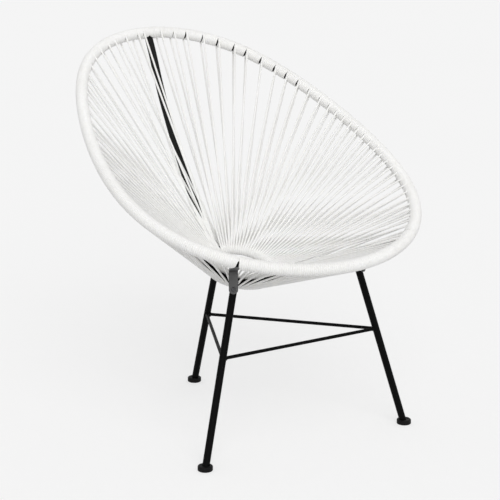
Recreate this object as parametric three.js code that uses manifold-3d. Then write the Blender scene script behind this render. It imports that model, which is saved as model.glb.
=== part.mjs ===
import * as THREE from 'three';
import { mergeVertices } from 'three/addons/utils/BufferGeometryUtils.js';
import Module from 'manifold-3d';

const wasm = await Module();
wasm.setup();

// A round lounge chair: an egg-shaped hoop and a small ring of steel tube, strung with cord,
// held by three flat spars on a three-legged base. Millimetres, +Z up, -Y is the chair's front.
// The origin lies on the floor, under the middle of the hoop.

// Clearances
const seatGap = 0.3;
const cordGap = 1;
const panelGap = 0.5;
const overrun = 6;

// Rim hoop, measured on the tube's centre line
const hoopHalfWidth = 351.5;
const hoopHalfDepth = 424.4;
const hoopFrontHeight = 444.8;
const hoopBackHeight = 833.8;
const hoopSag = 19.3;
const hoopTubeDiameter = 19;
const hoopEggShares = [1, -0.169, 0.073, 0.107];
const hoopSagSkewShare = -0.735;
const tubeSides = 8;

// Centre ring, measured on the tube's centre line
const ringRadius = 75.6;
const ringTubeDiameter = 19;
const ringCentreY = -10.2;
const ringHeight = 346;
const ringTiltDegrees = 18;

// Cord and its stations, spaced along the hoop from the middle of the back
const cordDiameter = 4.5;
const backPitch = 39.4;
const backCount = 13;
const shoulderPitch = 32.8;
const sideCount = 20;
const frontCount = 10;
const frontSparArc = 1069.7;
const sparGapOnSide = 28.2;
const sparGapOnFront = 21.4;
const bendSteps = 5;

// Legs: round tube, placed by the foot and the top of each centre line
const legDiameter = 16;
const legWall = 1.5;
const backFootY = 199.2;
const backTopY = 86.8;
const backTopHeight = 352;
const frontFootX = 267.2;
const frontFootY = -298.3;
const frontTopX = 159.8;
const frontTopY = -242;
const frontTopHeight = 392;
const legSides = 16;

// Stretchers
const stretcherDiameter = 7.5;
const frontJointHeight = 231;
const backJointHeight = 189;
const backJointOffset = 1;
const stretcherSides = 12;

// Feet
const footDiameter = 33;
const footHeight = 11;
const footTopRound = 3;
const footBottomRound = 1.5;
const footPlugLength = 20;
const footSides = 20;
const roundSteps = 3;

// Spars: flat bar, each with a tab bolted on a leg
const barWidth = 20;
const barThickness = 5;
const bendRadius = 12;
const backBarBow = 29.5;
const backBoltDrop = 24;
const backBarSteps = 24;
const backBowShares = [0, 0.24, 0.57, 0.81, 0.97, 1, 0.85, 0.53, 0];
const backPlaceShares = [0, 0.1, 0.2, 0.3, 0.45, 0.6, 0.75, 0.88, 1];
const frontBendHeight = 418;
const frontBarDrop = 7.5;
const frontBoltHeight = 377;
const frontSeatHeight = 368;

// Bolts
const boltDiameter = 6;
const boltHeadDiameter = 10.5;
const boltHeadHeight = 3.3;
const boltSocketWidth = 4;
const boltSocketDepth = 2;
const boltReach = 9;
const boltSides = 12;

// Sizes worked out from the ones above
const hoopTubeRadius = hoopTubeDiameter / 2;
const ringTubeRadius = ringTubeDiameter / 2;
const legRadius = legDiameter / 2;
const footRadius = footDiameter / 2;
const tabRadius = barWidth / 2;
const tabOffset = legRadius + seatGap + barThickness / 2;
const ringTilt = THREE.MathUtils.degToRad(ringTiltDegrees);
const cordSide = (cordDiameter * Math.sqrt(Math.PI)) / 2;
const stationCount = 2 * (backCount + 1 + sideCount + frontCount);
const up = new THREE.Vector3(0, 0, 1);

// Materials
const whiteCord = new THREE.MeshStandardMaterial({ color: 0xf1f0ec, roughness: 0.5, metalness: 0, flatShading: true });
const blackPaint = new THREE.MeshStandardMaterial({ color: 0x17171a, roughness: 0.42, metalness: 0.1, flatShading: true });
const blackRubber = new THREE.MeshStandardMaterial({ color: 0x141414, roughness: 0.75, metalness: 0, flatShading: true });
const blackBolt = new THREE.MeshStandardMaterial({ color: 0x2a2a2c, roughness: 0.35, metalness: 0.7, flatShading: true });

// Turns a geometry's faces outward and leaves only its points and triangles.
function closedSurface(geometry) {
  const bare = geometry.clone();
  bare.deleteAttribute('normal');
  bare.deleteAttribute('uv');
  const merged = mergeVertices(bare);
  const place = merged.getAttribute('position');
  const index = Array.from(merged.getIndex().array);
  const a = new THREE.Vector3();
  const b = new THREE.Vector3();
  const c = new THREE.Vector3();
  const kept = [];
  let volume = 0;
  for (let i = 0; i < index.length; i += 3) {
    const [p, q, r] = index.slice(i, i + 3);
    if (p !== q && q !== r && r !== p) {
      a.fromBufferAttribute(place, p);
      b.fromBufferAttribute(place, q);
      c.fromBufferAttribute(place, r);
      volume += a.dot(b.cross(c));
      kept.push(p, q, r);
    }
  }
  merged.setIndex(volume < 0 ? kept.reverse() : kept);
  return merged;
}

// A solid that can be joined and cut.
function solidOf(geometry) {
  const surface = closedSurface(geometry);
  const mesh = new wasm.Mesh({
    numProp: 3,
    vertProperties: new Float32Array(surface.getAttribute('position').array),
    triVerts: new Uint32Array(surface.getIndex().array),
  });
  return new wasm.Manifold(mesh);
}

// The geometry of a joined or cut solid.
function geometryOf(solid) {
  const mesh = solid.getMesh();
  const geometry = new THREE.BufferGeometry();
  geometry.setAttribute('position', new THREE.Float32BufferAttribute(mesh.vertProperties, 3));
  geometry.setIndex(Array.from(mesh.triVerts));
  return geometry;
}

// The hoop's centre line, from the middle of the back round the +X side.
class HoopCurve extends THREE.Curve {
  getPoint(share, target = new THREE.Vector3()) {
    const angle = share * 2 * Math.PI;
    const h = Math.cos(angle);
    const v = (h + 1) / 2;
    const egg = hoopEggShares.reduce((sum, part, power) => sum + part * h ** power, 0);
    const sag = 4 * hoopSag * v * (1 - v) * (1 + hoopSagSkewShare * h);
    const rise = hoopFrontHeight + (hoopBackHeight - hoopFrontHeight) * v;
    return target.set(hoopHalfWidth * Math.sin(angle) * egg, hoopHalfDepth * h, rise - sag);
  }
}

// The centre ring's centre line, from its back round the +X side.
class RingCurve extends THREE.Curve {
  getPoint(share, target = new THREE.Vector3()) {
    const angle = share * 2 * Math.PI;
    const back = ringRadius * Math.cos(angle);
    const y = ringCentreY + back * Math.cos(ringTilt);
    const z = ringHeight + back * Math.sin(ringTilt);
    return target.set(ringRadius * Math.sin(angle), y, z);
  }
}

const hoopCurve = new HoopCurve();
hoopCurve.arcLengthDivisions = 20 * stationCount;
const ringCurve = new RingCurve();
const ringCentre = new THREE.Vector3(0, ringCentreY, ringHeight);
const hoopLength = hoopCurve.getLength();
const halfLength = hoopLength / 2;

// Radii of many-sided outlines: one with a round's area, and one that stays outside a round.
function evenRadius(radius, sides) {
  return radius * Math.sqrt((2 * Math.PI) / (sides * Math.sin((2 * Math.PI) / sides)));
}

function outsideRadius(radius, sides) {
  return radius / Math.cos(Math.PI / sides);
}

const hoopOutlineRadius = evenRadius(hoopTubeRadius, tubeSides);
const hoopRoomRadius = hoopOutlineRadius + outsideRadius(seatGap, tubeSides);
const windingRadius = outsideRadius(hoopTubeRadius + cordDiameter, tubeSides);

// Distances along half of the hoop, from the middle of the back, where the cord leaves for the ring.
function stationArcs() {
  const arcs = [];
  for (let i = 0; i < backCount; i += 1) {
    arcs.push((i + 0.5) * backPitch);
  }
  const shoulder = arcs[backCount - 1] + shoulderPitch;
  arcs.push(shoulder);
  const sidePitch = (frontSparArc - sparGapOnSide - shoulder) / sideCount;
  for (let i = 1; i <= sideCount; i += 1) {
    arcs.push(shoulder + i * sidePitch);
  }
  const frontPitch = (halfLength - frontSparArc - sparGapOnFront) / (frontCount - 0.5);
  for (let i = 0; i < frontCount; i += 1) {
    arcs.push(frontSparArc + sparGapOnFront + i * frontPitch);
  }
  return arcs;
}

// Every station's distance along the whole hoop, going round from the back by the +X side.
const halfArcs = stationArcs();
const hoopArcs = [...halfArcs, ...halfArcs.map((arc) => hoopLength - arc).reverse()];
const sparArcs = [0, frontSparArc, hoopLength - frontSparArc];

// The hoop's steps lie halfway between two stations, or at the spar between them.
const hoopStepArcs = hoopArcs.map((arc, i) => {
  const before = i > 0 ? hoopArcs[i - 1] : arc - backPitch;
  const spar = sparArcs.find((place) => place > before && place < arc);
  return spar === undefined ? (before + arc) / 2 : spar;
});

// Points, and the two directions square to the tube, at the steps of a closed centre line.
function framesAlong(curve, shares, middle) {
  return shares.map((share) => {
    const point = curve.getPointAt(share);
    const tangent = curve.getTangentAt(share);
    const inward = middle.clone().sub(point);
    const upward = inward.clone().cross(tangent).normalize();
    inward.addScaledVector(tangent, -inward.dot(tangent)).normalize();
    return { share, point, inward, upward };
  });
}

const ringSteps = stationCount / 2;
const ringShares = Array.from({ length: ringSteps }, (unused, i) => i / ringSteps);
const hoopFrames = framesAlong(hoopCurve, hoopStepArcs.map((arc) => arc / hoopLength), ringCentre);
const ringFrames = framesAlong(ringCurve, ringShares, ringCentre);

// An outline round the tube at one frame. Its flats face up, down, inward and outward.
function outlineAt(frame, radius, sides) {
  const points = [];
  for (let k = 0; k < sides; k += 1) {
    const angle = (2 * Math.PI * (k + 0.5)) / sides;
    const point = frame.point.clone().addScaledVector(frame.inward, radius * Math.cos(angle));
    points.push(point.addScaledVector(frame.upward, radius * Math.sin(angle)));
  }
  return points;
}

// The straight piece of a stepped centre line that holds a share of its length.
function spanAt(frames, share) {
  const wrapped = ((share % 1) + 1) % 1;
  let first = frames.length - 1;
  while (frames[first].share > wrapped) {
    first -= 1;
  }
  const from = frames[first];
  const to = frames[(first + 1) % frames.length];
  const end = first + 1 < frames.length ? to.share : 1;
  return { from, to, part: (wrapped - from.share) / (end - from.share) };
}

// A point of the stepped centre line, with the direction of its piece.
function steppedPoint(frames, share) {
  const { from, to, part } = spanAt(frames, share);
  const point = from.point.clone().lerp(to.point, part);
  const tangent = to.point.clone().sub(from.point).normalize();
  return { point, tangent };
}

// The outline at any share of the length, on the flat faces between two steps.
function steppedOutline(frames, share, radius, sides) {
  const { from, to, part } = spanAt(frames, share);
  const ends = outlineAt(to, radius, sides);
  return outlineAt(from, radius, sides).map((point, k) => point.lerp(ends[k], part));
}

// A surface through a closed row of outlines with the same number of points.
function closedTube(frames, radius, sides) {
  const triangles = [];
  frames.forEach((frame, i) => {
    const here = outlineAt(frame, radius, sides);
    const next = outlineAt(frames[(i + 1) % frames.length], radius, sides);
    addBand(triangles, here, next);
  });
  return triangleGeometry(triangles);
}

// Faces between two outlines, seen in the order here, next from outside.
function addBand(triangles, here, next) {
  here.forEach((point, k) => {
    const turn = (k + 1) % here.length;
    triangles.push(point, next[k], next[turn], point, next[turn], here[turn]);
  });
}

// The face between four corners round a four-cornered port.
function addPort(triangles, corners, port) {
  const reach = port.map((unused, turn) => {
    return corners.reduce((sum, corner, k) => sum + corner.distanceTo(port[(turn + k) % 4]), 0);
  });
  const first = reach.indexOf(Math.min(...reach));
  corners.forEach((corner, k) => {
    const ahead = corners[(k + 1) % 4];
    const near = port[(first + k) % 4];
    const far = port[(first + k + 1) % 4];
    triangles.push(corner, ahead, far, corner, far, near);
  });
}

function triangleGeometry(points) {
  const geometry = new THREE.BufferGeometry();
  geometry.setAttribute('position', new THREE.Float32BufferAttribute(points.flatMap((p) => p.toArray()), 3));
  return geometry;
}

// A square section of the cord at a point, between two directions square to the cord.
function cordSection(point, outward, along) {
  const half = cordSide / 2;
  const out = outward.clone().multiplyScalar(half);
  const side = along.clone().multiplyScalar(half);
  return [
    point.clone().add(out).add(side),
    point.clone().add(out).sub(side),
    point.clone().sub(out).sub(side),
    point.clone().sub(out).add(side),
  ];
}

// Where the edges of a strand, given by two of its sections, meet the plane through a face.
function meet(corners, here, next) {
  const way = corners[2].clone().sub(corners[0]).cross(corners[3].clone().sub(corners[1])).normalize();
  const middle = corners.reduce((sum, point) => sum.add(point), new THREE.Vector3()).divideScalar(4);
  return here.map((point, k) => {
    const line = next[k].clone().sub(point);
    return point.clone().addScaledVector(line, middle.clone().sub(point).dot(way) / line.dot(way));
  });
}

// One strand's sections: from the hoop's upper side over the ring, round it and back to the
// hoop's lower side.
function strandSections(station) {
  const onHoop = steppedPoint(hoopFrames, station.hoopShare);
  const onRing = steppedPoint(ringFrames, station.ringShare);
  onRing.tangent = ringCurve.getTangentAt(station.ringShare);
  const run = onRing.point.clone().sub(onHoop.point).normalize();
  const hoopOut = run.clone().cross(onHoop.tangent).normalize();
  const ringOut = run.clone().cross(onRing.tangent).normalize();
  const inward = run.clone().addScaledVector(onRing.tangent, -run.dot(onRing.tangent)).normalize();
  const hoopSide = run.clone().cross(hoopOut);
  const ringSide = onRing.tangent.clone().multiplyScalar(Math.sign(hoopSide.dot(onRing.tangent)));
  const hoopReach = hoopTubeRadius + cordDiameter / 2;
  const ringReach = ringTubeRadius + seatGap + cordSide / 2;
  const turn = Math.PI / bendSteps;
  const stretch = 1 / Math.cos(turn / 2);
  const sections = [];
  sections.push(cordSection(onHoop.point.clone().addScaledVector(hoopOut, hoopReach), hoopOut, hoopSide));
  for (let i = 0; i < bendSteps; i += 1) {
    const angle = (i + 0.5) * turn;
    const out = ringOut.clone().multiplyScalar(Math.cos(angle)).addScaledVector(inward, Math.sin(angle));
    const corner = onRing.point.clone().addScaledVector(out, ringReach * stretch);
    sections.push(cordSection(corner, out.multiplyScalar(stretch), ringSide));
  }
  const under = hoopOut.clone().negate();
  sections.push(cordSection(onHoop.point.clone().addScaledVector(under, hoopReach), under, hoopSide));
  return sections;
}

// The faces of the winding that the strands leave from and come back to: the slanting ones above
// and below the inward flat.
const upperFace = 0;
const lowerFace = tubeSides - 2;

// The cord between two spars: its winding on the hoop and its strands to the ring, in one piece.
function cordPanel(startArc, endArc, chosen, cutters) {
  const start = (startArc + panelGap / 2) / hoopLength;
  const end = (endArc - panelGap / 2) / hoopLength;
  const between = hoopFrames.map((frame) => frame.share).filter((share) => share > start && share < end);
  const shares = [start, ...between, end];
  const outers = shares.map((share) => steppedOutline(hoopFrames, share, windingRadius, tubeSides));
  const inners = shares.map((share) => steppedOutline(hoopFrames, share, hoopRoomRadius, tubeSides));
  const triangles = [];
  addBand(triangles, inners[0], outers[0]);
  addBand(triangles, outers[chosen.length], inners[chosen.length]);
  chosen.forEach((station, i) => {
    addBand(triangles, inners[i + 1], inners[i]);
    const faces = outers[i].map((point, k) => {
      const turn = (k + 1) % tubeSides;
      return [point, outers[i + 1][k], outers[i + 1][turn], outers[i][turn]];
    });
    const sections = strandSections(station);
    const last = sections.length - 1;
    sections[0] = meet(faces[upperFace], sections[0], sections[1]);
    sections[last] = meet(faces[lowerFace], sections[last], sections[last - 1]);
    faces.forEach((face, k) => {
      if (k === upperFace) {
        addPort(triangles, face, [...sections[0]].reverse());
      } else if (k === lowerFace) {
        addPort(triangles, face, sections[last]);
      } else {
        triangles.push(face[0], face[1], face[2], face[0], face[2], face[3]);
      }
    });
    for (let j = 0; j < last; j += 1) {
      addBand(triangles, sections[j], sections[j + 1]);
    }
  });
  let panel = solidOf(triangleGeometry(triangles));
  for (const cutter of cutters) {
    panel = panel.subtract(cutter);
  }
  return geometryOf(panel);
}

// A straight round tube or rod whose centre line starts at the origin and runs up the Y axis.
function roundBar(radius, bore, length, sides) {
  const profile = bore > 0
    ? [[bore, 0], [radius, 0], [radius, length], [bore, length], [bore, 0]]
    : [[0, 0], [radius, 0], [radius, length], [0, length]];
  return new THREE.LatheGeometry(profile.map(([x, y]) => new THREE.Vector2(x, y)), sides);
}

// The same between two points.
function roundBarBetween(start, end, radius, bore, sides) {
  const line = end.clone().sub(start);
  const turn = new THREE.Quaternion().setFromUnitVectors(new THREE.Vector3(0, 1, 0), line.clone().normalize());
  const place = new THREE.Matrix4().compose(start, turn, new THREE.Vector3(1, 1, 1));
  return roundBar(radius, bore, line.length(), sides).applyMatrix4(place);
}

// A leg's centre line, as a point at any height.
function legLine(foot, top) {
  const slope = top.clone().sub(foot).divideScalar(top.z - foot.z);
  return {
    foot,
    top,
    slope,
    direction: slope.clone().normalize(),
    at: (height) => foot.clone().addScaledVector(slope, height),
  };
}

const backLeg = legLine(new THREE.Vector3(0, backFootY, 0), new THREE.Vector3(0, backTopY, backTopHeight));
const frontLegs = [-1, 1].map((side) => legLine(
  new THREE.Vector3(side * frontFootX, frontFootY, 0),
  new THREE.Vector3(side * frontTopX, frontTopY, frontTopHeight),
));

// A bar's frame: it runs in the upright plane through start along a level direction, and its tab
// lies on the outside of a leg. Places in the plane are given as run and height.
function barPlane(start, along, leg, seatHeight, side) {
  const seat = leg.at(seatHeight);
  const seatRun = seat.clone().sub(start).dot(along);
  const lean = leg.slope.dot(along);
  const length = Math.hypot(1, lean);
  const outRun = side / length;
  const outRise = (-side * lean) / length;
  const tabAt = (height) => {
    const rise = height - seatHeight - outRise * tabOffset;
    return new THREE.Vector2(seatRun + outRun * tabOffset + lean * rise, height);
  };
  const across = along.clone().cross(up);
  const toSpace = (place) => start.clone().setZ(0).addScaledVector(along, place.x).setZ(place.y);
  const outward = along.clone().multiplyScalar(outRun).setZ(outRise);
  const tabUp = along.clone().multiplyScalar(lean / length).setZ(1 / length);
  return { start, along, across, tabAt, toSpace, outward, tabUp };
}

// A path with a rounded corner between the run and the tab.
function roundedPath(run, corner, tabEnd) {
  const before = run[run.length - 1].clone().sub(corner).normalize().multiplyScalar(bendRadius).add(corner);
  const after = tabEnd.clone().sub(corner).normalize().multiplyScalar(bendRadius).add(corner);
  const bend = new THREE.QuadraticBezierCurve(before, corner, after).getPoints(bendSteps);
  return [...run, ...bend, tabEnd];
}

// The side outline of a bar along a path, at a thickness.
function bandShape(path, thickness) {
  const left = [];
  const right = [];
  path.forEach((point, i) => {
    const back = path[Math.max(i - 1, 0)];
    const ahead = path[Math.min(i + 1, path.length - 1)];
    const way = ahead.clone().sub(back).normalize();
    const square = new THREE.Vector2(-way.y, way.x).multiplyScalar(thickness / 2);
    left.push(point.clone().add(square));
    right.push(point.clone().sub(square));
  });
  return new THREE.Shape([...left, ...right.reverse()]);
}

function flatBar(plane, path, thickness, width) {
  const geometry = new THREE.ExtrudeGeometry(bandShape(path, thickness), { depth: width, bevelEnabled: false });
  geometry.translate(0, 0, -width / 2);
  const basis = new THREE.Matrix4().makeBasis(plane.along, up, plane.across);
  basis.setPosition(plane.start.x, plane.start.y, 0);
  return geometry.applyMatrix4(basis);
}

// A round pin along the tab's outward direction, from a depth inside the leg to outside the tab.
function boltPin(plane, centre, radius, depth, height) {
  const start = centre.clone().addScaledVector(plane.outward, -depth);
  const end = centre.clone().addScaledVector(plane.outward, height);
  return roundBarBetween(start, end, radius, 0, boltSides);
}

// The bar with its end cut at the hoop, its tab's end rounded about the bolt, and the bolt hole.
function sparSolid(plane, path, boltPlace) {
  const centre = plane.toSpace(boltPlace);
  const reach = barThickness + overrun;
  const bar = solidOf(flatBar(plane, path, barThickness, barWidth));
  const hoopRoom = solidOf(closedTube(hoopFrames, hoopRoomRadius, tubeSides));
  const hole = solidOf(boltPin(plane, centre, boltDiameter / 2 + seatGap, reach, reach));
  const round = solidOf(boltPin(plane, centre, tabRadius + seatGap, reach, reach));
  const block = new THREE.BoxGeometry(barWidth + overrun, barWidth, reach);
  block.translate(0, -barWidth / 2, 0);
  block.applyMatrix4(new THREE.Matrix4().makeBasis(plane.across, plane.tabUp, plane.across.clone().cross(plane.tabUp)));
  block.translate(centre.x, centre.y, centre.z);
  const corners = solidOf(block).subtract(round);
  return geometryOf(bar.subtract(hoopRoom).subtract(corners).subtract(hole));
}

// The back bar bows out behind the cords and turns down on the back leg's outer side.
function backBar() {
  const start = hoopCurve.getPointAt(0);
  const plane = barPlane(start, new THREE.Vector3(0, 1, 0), backLeg, backTopHeight - backBoltDrop, 1);
  const corner = plane.tabAt(backTopHeight);
  const line = corner.clone().setY(corner.y - start.z);
  const square = new THREE.Vector2(-line.y, line.x).normalize();
  const knots = backPlaceShares.map((share, i) => {
    const point = new THREE.Vector2(0, start.z).addScaledVector(line, share);
    return point.addScaledVector(square, backBarBow * backBowShares[i]);
  });
  const bow = new THREE.SplineCurve(knots).getPoints(backBarSteps);
  const run = bow.filter((point) => point.distanceTo(corner) > bendRadius + barThickness);
  const bolt = plane.tabAt(backTopHeight - backBoltDrop);
  const end = plane.tabAt(backTopHeight - backBoltDrop - tabRadius);
  return { plane, bolt, path: roundedPath(run, corner, end) };
}

// A front bar falls from the hoop between the cords and turns down on the outside of its leg.
function frontBar(side) {
  const leg = frontLegs[side < 0 ? 0 : 1];
  const share = frontSparArc / hoopLength;
  const start = hoopCurve.getPointAt(side < 0 ? 1 - share : share);
  const along = leg.at(frontSeatHeight).sub(start).setZ(0).normalize();
  const plane = barPlane(start, along, leg, frontSeatHeight, -1);
  const run = [new THREE.Vector2(0, start.z - frontBarDrop)];
  const bolt = plane.tabAt(frontBoltHeight);
  const end = plane.tabAt(frontBoltHeight - tabRadius);
  return { plane, bolt, path: roundedPath(run, plane.tabAt(frontBendHeight), end) };
}

// A leg: a tube cut level above its foot, with the bolt's hole in its outer wall.
function legGeometry(leg, spar) {
  const bottom = leg.at(-overrun);
  const tube = solidOf(roundBarBetween(bottom, leg.top, legRadius, legRadius - legWall, legSides));
  const floor = new THREE.BoxGeometry(2 * footDiameter, 2 * footDiameter, 2 * (footHeight + seatGap));
  floor.translate(leg.foot.x, leg.foot.y, 0);
  const centre = spar.plane.toSpace(spar.bolt);
  const hole = solidOf(boltPin(spar.plane, centre, boltDiameter / 2 + seatGap, tabOffset, barThickness));
  return geometryOf(tube.subtract(solidOf(floor)).subtract(hole));
}

// A rod between two legs, with its ends cut to the round of the tubes.
function stretcherGeometry(start, end, legs) {
  let rod = solidOf(roundBarBetween(start, end, stretcherDiameter / 2, 0, stretcherSides));
  for (const leg of legs) {
    const room = outsideRadius(legRadius + seatGap, legSides);
    rod = rod.subtract(solidOf(roundBarBetween(leg.foot, leg.top, room, 0, legSides)));
  }
  return geometryOf(rod);
}

// A foot: a disc with rounded edges and a plug that stands up into the leg's tube.
function footGeometry(leg) {
  const profile = [new THREE.Vector2(0, 0)];
  const addRound = (centreX, centreY, radius, from) => {
    for (let i = 0; i <= roundSteps; i += 1) {
      const angle = from + (i / roundSteps) * (Math.PI / 2);
      profile.push(new THREE.Vector2(centreX + radius * Math.cos(angle), centreY + radius * Math.sin(angle)));
    }
  };
  addRound(footRadius - footBottomRound, footBottomRound, footBottomRound, -Math.PI / 2);
  addRound(footRadius - footTopRound, footHeight - footTopRound, footTopRound, 0);
  profile.push(new THREE.Vector2(0, footHeight));
  const disc = new THREE.LatheGeometry(profile, footSides).rotateX(Math.PI / 2);
  const shift = leg.slope.clone().setZ(0);
  const low = shift.clone().multiplyScalar(footHeight / 2).setZ(footHeight / 2);
  const high = low.clone().addScaledVector(leg.direction, footPlugLength);
  const plug = roundBarBetween(low, high, legRadius - legWall - seatGap, 0, legSides);
  return geometryOf(solidOf(disc).add(solidOf(plug)));
}

// A bolt with a domed head and a six-sided socket. Its seat is at the origin and it points down Y.
function boltGeometry() {
  const headRadius = boltHeadDiameter / 2;
  const profile = [new THREE.Vector2(0, -boltReach), new THREE.Vector2(boltDiameter / 2, -boltReach)];
  profile.push(new THREE.Vector2(boltDiameter / 2, 0), new THREE.Vector2(headRadius, 0));
  for (let i = 1; i <= roundSteps; i += 1) {
    const angle = (i / roundSteps) * (Math.PI / 2);
    profile.push(new THREE.Vector2(headRadius * Math.cos(angle), boltHeadHeight * Math.sin(angle)));
  }
  profile[profile.length - 1].setX(0);
  const bolt = solidOf(new THREE.LatheGeometry(profile, boltSides));
  const socketRadius = outsideRadius(boltSocketWidth / 2, 6);
  const socket = new THREE.CylinderGeometry(socketRadius, socketRadius, 2 * boltSocketDepth, 6);
  socket.translate(0, boltHeadHeight, 0);
  return geometryOf(bolt.subtract(solidOf(socket)));
}

function named(name, geometry, material) {
  const mesh = new THREE.Mesh(closedSurface(geometry), material);
  mesh.name = name;
  return mesh;
}

function boltMesh(name, spar) {
  const mesh = named(name, boltGeometry(), blackBolt);
  const face = barThickness / 2 + seatGap;
  mesh.position.copy(spar.plane.toSpace(spar.bolt).addScaledVector(spar.plane.outward, face));
  mesh.quaternion.setFromUnitVectors(new THREE.Vector3(0, 1, 0), spar.plane.outward);
  return mesh;
}

function footMesh(name, leg) {
  const mesh = named(name, footGeometry(leg), blackRubber);
  mesh.position.copy(leg.foot);
  return mesh;
}

// The base: legs, stretchers, feet, spars and bolts.
function base() {
  const group = new THREE.Group();
  const backSpar = backBar();
  const [leftSpar, rightSpar] = [-1, 1].map(frontBar);
  const [leftLeg, rightLeg] = frontLegs;
  group.add(named('back_leg', legGeometry(backLeg, backSpar), blackPaint));
  group.add(named('front_left_leg', legGeometry(leftLeg, leftSpar), blackPaint));
  group.add(named('front_right_leg', legGeometry(rightLeg, rightSpar), blackPaint));
  const leftJoint = leftLeg.at(frontJointHeight);
  const rightJoint = rightLeg.at(frontJointHeight);
  const backJoint = backLeg.at(backJointHeight);
  const leftEnd = backJoint.clone().setX(-backJointOffset);
  const rightEnd = backJoint.clone().setX(backJointOffset);
  group.add(named('left_stretcher', stretcherGeometry(leftJoint, leftEnd, [leftLeg, backLeg]), blackPaint));
  group.add(named('right_stretcher', stretcherGeometry(rightJoint, rightEnd, [rightLeg, backLeg]), blackPaint));
  group.add(named('front_stretcher', stretcherGeometry(leftJoint, rightJoint, frontLegs), blackPaint));
  group.add(footMesh('back_foot', backLeg));
  group.add(footMesh('front_left_foot', leftLeg));
  group.add(footMesh('front_right_foot', rightLeg));
  group.add(named('back_spar', sparSolid(backSpar.plane, backSpar.path, backSpar.bolt), blackPaint));
  group.add(named('front_left_spar', sparSolid(leftSpar.plane, leftSpar.path, leftSpar.bolt), blackPaint));
  group.add(named('front_right_spar', sparSolid(rightSpar.plane, rightSpar.path, rightSpar.bolt), blackPaint));
  group.add(boltMesh('back_bolt', backSpar));
  group.add(boltMesh('front_left_bolt', leftSpar));
  group.add(boltMesh('front_right_bolt', rightSpar));
  return { group, spars: [backSpar, leftSpar, rightSpar] };
}

// The seat: hoop, ring and the three lengths of cord strung between them.
function seat(spars) {
  const group = new THREE.Group();
  group.add(named('rim_hoop', closedTube(hoopFrames, hoopOutlineRadius, tubeSides), blackPaint));
  group.add(named('centre_ring', closedTube(ringFrames, ringTubeRadius, tubeSides), blackPaint));
  const cutters = spars.map(({ plane, path }) => {
    return solidOf(flatBar(plane, path, barThickness + 2 * cordGap, barWidth + 2 * cordGap));
  });
  const all = hoopArcs.map((arc, i) => {
    return { hoopShare: arc / hoopLength, ringShare: (i + 0.5) / stationCount };
  });
  const perSide = backCount + 1 + sideCount;
  const right = all.slice(0, perSide);
  const front = all.slice(perSide, perSide + 2 * frontCount);
  const left = all.slice(perSide + 2 * frontCount);
  const leftStart = hoopLength - frontSparArc;
  group.add(named('right_cord', cordPanel(0, frontSparArc, right, cutters), whiteCord));
  group.add(named('front_cord', cordPanel(frontSparArc, leftStart, front, cutters), whiteCord));
  group.add(named('left_cord', cordPanel(leftStart, hoopLength, left, cutters), whiteCord));
  return group;
}

const chair = new THREE.Group();
const stand = base();
chair.add(stand.group);
chair.add(seat(stand.spars));

export default chair;
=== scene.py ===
import math

import bpy
import numpy as np
from mathutils import Matrix


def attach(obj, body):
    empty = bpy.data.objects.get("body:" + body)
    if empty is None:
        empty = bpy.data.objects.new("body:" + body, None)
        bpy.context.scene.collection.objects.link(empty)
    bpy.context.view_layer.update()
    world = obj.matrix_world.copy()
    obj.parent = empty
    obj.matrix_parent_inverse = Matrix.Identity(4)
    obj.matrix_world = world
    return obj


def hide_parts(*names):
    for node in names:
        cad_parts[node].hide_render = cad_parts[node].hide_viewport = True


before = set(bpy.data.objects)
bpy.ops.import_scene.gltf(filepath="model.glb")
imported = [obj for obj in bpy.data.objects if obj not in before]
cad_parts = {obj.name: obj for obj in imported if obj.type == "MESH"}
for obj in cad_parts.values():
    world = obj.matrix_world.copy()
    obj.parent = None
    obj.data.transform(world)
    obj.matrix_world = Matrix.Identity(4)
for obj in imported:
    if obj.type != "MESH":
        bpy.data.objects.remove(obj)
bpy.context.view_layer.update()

# A round corded lounge chair. Lengths here are in millimetres, in the CAD frame, and become
# metres where a mesh is made. +Z is up and -Y is the chair's front.

MILLIMETRE = 0.001
TURN = 2 * math.pi

# Rim hoop and centre ring, on the tube's centre line
HOOP_HALF_WIDTH = 351.5
HOOP_HALF_DEPTH = 424.4
HOOP_FRONT_HEIGHT = 444.8
HOOP_BACK_HEIGHT = 833.8
HOOP_SAG = 19.3
HOOP_SAG_SKEW = -0.735
HOOP_EGG = (1, -0.169, 0.073, 0.107)
HOOP_TABLE_STEPS = 20000
TUBE_RADIUS = 9.5
RING_RADIUS = 75.6
RING_Y = -10.2
RING_HEIGHT = 346
RING_TILT = math.radians(18)
HOOP_SEGMENTS = 360
RING_SEGMENTS = 120
TUBE_SIDES = 28

# Stations, where the cord leaves the hoop. The marks are distances along the hoop from the middle
# of the back. The sides' and the front's stations are evenly spaced.
BACK_MARKS_RIGHT = (
    29.7, 64.6, 98.0, 142.4, 182.8, 225.2, 260.1, 304.0, 344.9, 381.3, 418.2, 455.1, 492.5, 525.3,
)
BACK_MARKS_LEFT = (
    18.5, 37.0, 76.6, 116.4, 144.0, 184.0, 221.6, 260.0, 299.0, 338.0, 377.0, 416.0, 455.0, 492.0,
)
SIDE_COUNT = 20
FRONT_COUNT = 10
FRONT_SPAR_ARC = 1069.7
SPAR_GAP_ON_SIDE = 28.2
SPAR_GAP_ON_FRONT = 21.4
STATION_JITTER = 0.7

# Cord. The spreads are half widths where it lies pressed: on the hoop in shares of the pitch of
# its turns, and on the ring in millimetres.
CORD_RADIUS = 2.25
CORD_REACH = TUBE_RADIUS + CORD_RADIUS
CORD_SIDES = 10
CORD_GAP = 0.3
STRAND_APART = 2.3
STRAND_WANDER = 0.22
WRAP_PITCH = 4.5
WRAP_SPREAD = 0.6
WRAP_STEPS = 24
RING_SPREAD = 3.3

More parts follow.
